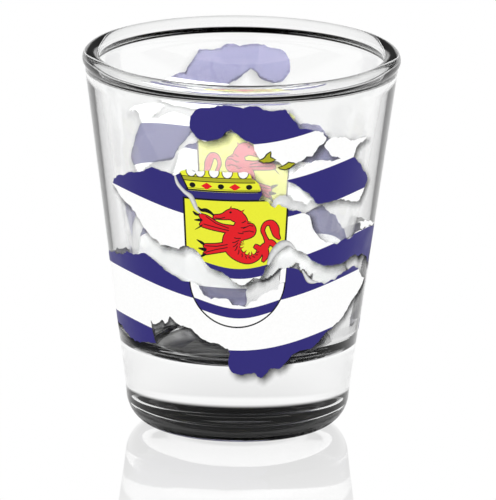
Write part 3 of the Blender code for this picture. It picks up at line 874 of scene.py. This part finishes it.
def hole_tones(x, y):
    """The strength of the torn hole's grain and of its dark rim at points."""
    hole = distance_to(HOLE, x, y)
    grain = 0.5 + 0.5 * np.sin(0.5 * x + 1.3 * y) * np.sin(0.31 * x - 2.1 * y + 1.0)
    mottled = HOLE_GRAIN * grain ** 2 * np.clip((HOLE_SOFT - hole) / (2 * HOLE_SOFT), 0, 1)
    from_edge = np.abs(distance_to(LOWER_STRIP, x, y) - HOLE_EDGE_SHIFT)
    rim = HOLE_RIM * np.clip((HOLE_EDGE - from_edge) / HOLE_EDGE, 0, 1)
    start, length = HOLE_REACH
    rim = rim * np.clip((start - hole) / length, 0, 1) * (y > HOLE_FOOT) * (x < HOLE_RIGHT)
    return mottled, rim


def make_shade(name, side):
    """Soft printed shadows beside the strips, as one thin film whose strength varies."""
    x, y = np.meshgrid(np.arange(*SHADE_ANGLES, SHADE_CELL[0]),
                       np.arange(*SHADE_HEIGHTS, SHADE_CELL[1]))
    shade = np.zeros(x.shape)
    cover = np.full(x.shape, FAR)
    turn = 180.0 if side == "back" else 0.0
    for strip, outline in STRIPS.items():
        if side == "back":
            outline = [(a, h - drop_of(strip, a)) for a, h in outline]
        broad = shadow_of(outline, SHADE_SHIFT, SHADE_BLUR, SHADE_DEPTH[side], x, y)
        tight = shadow_of(outline, EDGE_SHIFT, EDGE_BLUR, EDGE_DEPTH[side], x, y)
        shade = np.maximum(shade, np.maximum(broad, tight))
        cover = np.minimum(cover, distance_to(outline, x, y))
    for tones in hole_tones(x, y):
        shade = np.maximum(shade, tones)
    shade = 1 - (1 - shade) ** SHADE_POWER
    keep = (shade > SHADE_LEAST) & (cover > -SHADE_UNDER_STRIP)
    rows, columns = x.shape
    index, vertices, tones, faces = {}, [], [], []

    def corner(i, j):
        if (i, j) not in index:
            index[(i, j)] = len(vertices)
            vertices.append(wall_point(x[i, j] + turn, y[i, j], SHADE_LIFT))
            tones.append(float(shade[i, j]))
        return index[(i, j)]

    for i in range(rows - 1):
        for j in range(columns - 1):
            if keep[i:i + 2, j:j + 2].any():
                around = ((i, j), (i, j + 1), (i + 1, j + 1), (i + 1, j))
                faces.append(tuple(corner(*place) for place in around))
    ob = new_object(name, vertices, faces, inks["shade"])
    set_attribute(ob, "tone", tones)
    return ob


def connect(tree, value, socket):
    """Link a socket to another one, or set it to a number or a colour."""
    if isinstance(value, bpy.types.NodeSocket):
        tree.links.new(value, socket)
    else:
        socket.default_value = value


def math_node(tree, operation, *values, clamp=False):
    """A Math node on numbers or sockets; returns its output."""
    n = tree.nodes.new("ShaderNodeMath")
    n.operation = operation
    n.use_clamp = clamp
    for value, socket in zip(values, n.inputs):
        connect(tree, value, socket)
    return n.outputs[0]


def ramp(tree, value, start, end, at_start=0.0, at_end=1.0, smooth=False):
    """A Map Range node: at_start up to the start, and at_end from the end on."""
    n = tree.nodes.new("ShaderNodeMapRange")
    if smooth:
        n.interpolation_type = "SMOOTHSTEP"
    connect(tree, value, n.inputs["Value"])
    connect(tree, start, n.inputs["From Min"])
    connect(tree, end, n.inputs["From Max"])
    connect(tree, at_start, n.inputs["To Min"])
    connect(tree, at_end, n.inputs["To Max"])
    return n.outputs["Result"]


def blend(tree, factor, without, fully):
    """A Mix node for numbers: without at a factor of 0, and fully at 1."""
    n = tree.nodes.new("ShaderNodeMix")
    for index, value in ((0, factor), (2, without), (3, fully)):
        connect(tree, value, n.inputs[index])
    return n.outputs[0]


def attribute(tree, name):
    n = tree.nodes.new("ShaderNodeAttribute")
    n.attribute_name = name
    return n.outputs["Fac"]


def noise(tree, scale, detail):
    coords = tree.nodes.new("ShaderNodeTexCoord")
    n = tree.nodes.new("ShaderNodeTexNoise")
    n.inputs["Scale"].default_value = scale
    n.inputs["Detail"].default_value = detail
    tree.links.new(coords.outputs["Object"], n.inputs["Vector"])
    return n.outputs["Fac"]


def spread(tree, source, low, high):
    """A noise's usual range stretched over a new one."""
    return ramp(tree, source, *NOISE_RANGE, low, high)


def ink_material(name, colour, through):
    """Screen-printed enamel: fine mottling, soft gloss, and its pale side through the glass."""
    m, tree, s = new_material(name)
    tint = tree.nodes.new("ShaderNodeMix")
    tint.data_type = "RGBA"
    tint.inputs["A"].default_value = (*colour, 1)
    tint.inputs["B"].default_value = (*through, 1)
    tree.links.new(attribute(tree, "inner"), tint.inputs["Factor"])
    fine = noise(tree, *INK_GRAIN)
    broad = noise(tree, *INK_CLOUDS)
    shift = tree.nodes.new("ShaderNodeHueSaturation")
    tree.links.new(tint.outputs["Result"], shift.inputs["Color"])
    tree.links.new(spread(tree, fine, 0.965, 1.0), shift.inputs["Value"])
    tree.links.new(shift.outputs["Color"], s.inputs["Base Color"])
    tree.links.new(spread(tree, broad, 0.34, 0.5), s.inputs["Roughness"])
    s.inputs["Specular IOR Level"].default_value = INK_SPECULAR
    bump = tree.nodes.new("ShaderNodeBump")
    bump.inputs["Strength"].default_value = 0.08
    bump.inputs["Distance"].default_value = 0.00002
    tree.links.new(fine, bump.inputs["Height"])
    tree.links.new(bump.outputs["Normal"], s.inputs["Normal"])
    return m


def grey_material():
    """Printed paper shading: the tone attribute is its colour."""
    m, tree, s = new_material("grey_ink")
    grain = spread(tree, noise(tree, *PAPER_GRAIN), 0.9, 1.05)
    tone = math_node(tree, "MULTIPLY", attribute(tree, "tone"), grain)
    tree.links.new(tone, s.inputs["Base Color"])
    s.inputs["Specular IOR Level"].default_value = INK_SPECULAR
    s.inputs["Roughness"].default_value = 0.45
    return m


def shade_material():
    """Printed shadow: the tone attribute is its strength."""
    m, tree, s = new_material("shade_ink")
    grain = spread(tree, noise(tree, *SHADE_GRAIN), 0.88, 1.08)
    strength = math_node(tree, "MULTIPLY", attribute(tree, "tone"), grain)
    tree.links.new(strength, s.inputs["Alpha"])
    s.inputs["Base Color"].default_value = (0.015, 0.015, 0.018, 1)
    s.inputs["Specular IOR Level"].default_value = 0.0
    s.inputs["Roughness"].default_value = 0.6
    return m


STRIPS = {"top": TOP_STRIP, "flap": FLAP_STRIP, "middle": MIDDLE_STRIP, "lower": LOWER_STRIP}
# Each ink's colour outside, and its colour on the side against the glass
inks = {
    "white": ink_material("white_ink", (0.96, 0.96, 0.955), (0.97, 0.97, 0.97)),
    "navy": ink_material("navy_ink", (0.032, 0.026, 0.19), (0.215, 0.21, 0.32)),
    "yellow": ink_material("yellow_ink", (0.80, 0.815, 0.035), (0.80, 0.81, 0.36)),
    "red": ink_material("red_ink", (0.76, 0.012, 0.018), (0.74, 0.36, 0.38)),
    "black": ink_material("black_ink", (0.012, 0.012, 0.014), (0.32, 0.31, 0.30)),
    "olive": ink_material("olive_ink", (0.42, 0.42, 0.02), (0.62, 0.62, 0.30)),
    "grey": grey_material(),
    "shade": shade_material(),
}
make_prints()


def first_bounce(tree, path):
    """1 for rays that haven't passed through glass, 0 for the others."""
    return math_node(tree, "COMPARE", path.outputs["Transmission Depth"], 0.0, 0.5)


def ink_through_glass(tree, path):
    """1 for the light on ink that is seen through glass, 0 for other light."""
    soaked = math_node(tree, "MULTIPLY", path.outputs["Diffuse Depth"],
                       path.outputs["Transmission Depth"], clamp=True)
    return math_node(tree, "SUBTRACT", soaked, path.outputs["Glossy Depth"], clamp=True)


def floor_material():
    """White, with a soft mirror near the foot, a painted shadow under the foot, and darker for some
    kinds of ray.
    """
    m = bpy.data.materials.new("white_floor")
    m.use_nodes = True
    t = m.node_tree
    t.nodes.clear()
    path = t.nodes.new("ShaderNodeLightPath")
    geometry = t.nodes.new("ShaderNodeNewGeometry")
    position = geometry.outputs["Position"]
    from_middle = t.nodes.new("ShaderNodeVectorMath")
    from_middle.operation = "LENGTH"
    t.links.new(position, from_middle.inputs[0])
    distance = from_middle.outputs["Value"]
    place = t.nodes.new("ShaderNodeSeparateXYZ")
    t.links.new(position, place.inputs[0])

    # In the glass's own reflections the floor is dim on the photo's side
    reflected = math_node(t, "MULTIPLY", first_bounce(t, path), path.outputs["Is Glossy Ray"])
    front = ramp(t, place.outputs["Y"], -FLOOR_DIM_SIDE, FLOOR_DIM_SIDE, FLOOR_GLOSSY, 1.0)
    dimmed = ramp(t, reflected, 0.0, 1.0, 1.0, front)
    # Painted shadow: the floor's glow goes dark under the foot, a contact shadow that shows only
    # through glass
    under = ramp(t, distance, FOOT_SHADOW_DARK, FOOT_SHADOW_CLEAR, smooth=True)
    open_floor = math_node(t, "MAXIMUM", under, path.outputs["Is Camera Ray"])
    lit = math_node(t, "MULTIPLY", open_floor, dimmed)
    boost = ramp(t, ink_through_glass(t, path), 0.0, 1.0, 1.0, THROUGH_LIGHT)

    glow = t.nodes.new("ShaderNodeEmission")
    glow.inputs["Color"].default_value = (1, 1, 1, 1)
    t.links.new(math_node(t, "MULTIPLY", lit, boost), glow.inputs["Strength"])
    gloss = t.nodes.new("ShaderNodeBsdfGlossy")
    gloss.inputs["Color"].default_value = (1, 1, 1, 1)
    gloss.inputs["Roughness"].default_value = FLOOR_ROUGHNESS
    mix = t.nodes.new("ShaderNodeMixShader")
    mirror = ramp(t, distance, FLOOR_FADE_START, FLOOR_FADE, FLOOR_REFLECT, 0.0, smooth=True)
    t.links.new(mirror, mix.inputs["Fac"])
    t.links.new(glow.outputs[0], mix.inputs[1])
    t.links.new(gloss.outputs[0], mix.inputs[2])
    surface = t.nodes.new("ShaderNodeOutputMaterial")
    t.links.new(mix.outputs[0], surface.inputs["Surface"])
    return m


def make_floor():
    mesh = bmesh.new()
    bmesh.ops.create_circle(mesh, cap_ends=True, segments=96, radius=FLOOR_RADIUS)
    data = bpy.data.meshes.new("floor")
    mesh.to_mesh(data)
    mesh.free()
    floor = bpy.data.objects.new("floor", data)
    floor.location.z = -FLOOR_DROP
    bpy.context.scene.collection.objects.link(floor)
    floor.data.materials.append(floor_material())


def sky_ramp(tree, height, clear, dark, level):
    """White below one height in degrees, and a darker level above another."""
    return ramp(tree, height, math.sin(math.radians(clear)), math.sin(math.radians(dark)),
                1.0, level, smooth=True)


def background(tree, strength):
    n = tree.nodes.new("ShaderNodeBackground")
    n.inputs["Color"].default_value = (1, 1, 1, 1)
    connect(tree, strength, n.inputs["Strength"])
    return n.outputs[0]


def make_world():
    """White for the camera, and dark high up for rays bent or reflected by the glass."""
    w = bpy.data.worlds.new("studio")
    bpy.context.scene.world = w
    w.use_nodes = True
    t = w.node_tree
    t.nodes.clear()
    path = t.nodes.new("ShaderNodeLightPath")
    coord = t.nodes.new("ShaderNodeTexCoord")
    direction = t.nodes.new("ShaderNodeSeparateXYZ")
    t.links.new(coord.outputs["Generated"], direction.inputs[0])
    height = direction.outputs["Z"]

    sky = sky_ramp(t, height, SKY_CLEAR, SKY_DARK, 0.0)
    glance = sky_ramp(t, height, GLANCE_CLEAR, GLANCE_DARK, GLANCE_LEVEL)
    # Only smooth glass reflects the dark part of the sky; the floor's soft mirror sees white
    mirrored = blend(t, path.outputs["Is Singular Ray"], 1.0, glance)
    bent_or_mirrored = blend(t, first_bounce(t, path), sky, mirrored)
    on_ink = blend(t, path.outputs["Diffuse Depth"], bent_or_mirrored, INK_LIGHT)
    strength = blend(t, ink_through_glass(t, path), on_ink, THROUGH_LIGHT)

    mix = t.nodes.new("ShaderNodeMixShader")
    t.links.new(path.outputs["Is Camera Ray"], mix.inputs["Fac"])
    t.links.new(background(t, strength), mix.inputs[1])
    t.links.new(background(t, 1.0), mix.inputs[2])
    surface = t.nodes.new("ShaderNodeOutputWorld")
    t.links.new(mix.outputs[0], surface.inputs["Surface"])


def make_camera():
    data = bpy.data.cameras.new("camera")
    data.lens = LENS
    data.sensor_width = SENSOR
    data.clip_start, data.clip_end = CLIP
    cam = bpy.data.objects.new("camera", data)
    bpy.context.scene.collection.objects.link(cam)
    elevation = math.radians(ELEVATION)
    back = Vector((0, -math.cos(elevation), math.sin(elevation)))
    cam.location = Vector(AIM) + back * DISTANCE
    look = (-back).to_track_quat("-Z", "Y")
    cam.rotation_euler = (look @ Quaternion((0, 0, 1), math.radians(ROLL))).to_euler()
    bpy.context.scene.camera = cam


make_floor()
make_world()
make_camera()
bpy.context.scene.view_settings.view_transform = "Standard"
bpy.context.scene.view_settings.look = "None"
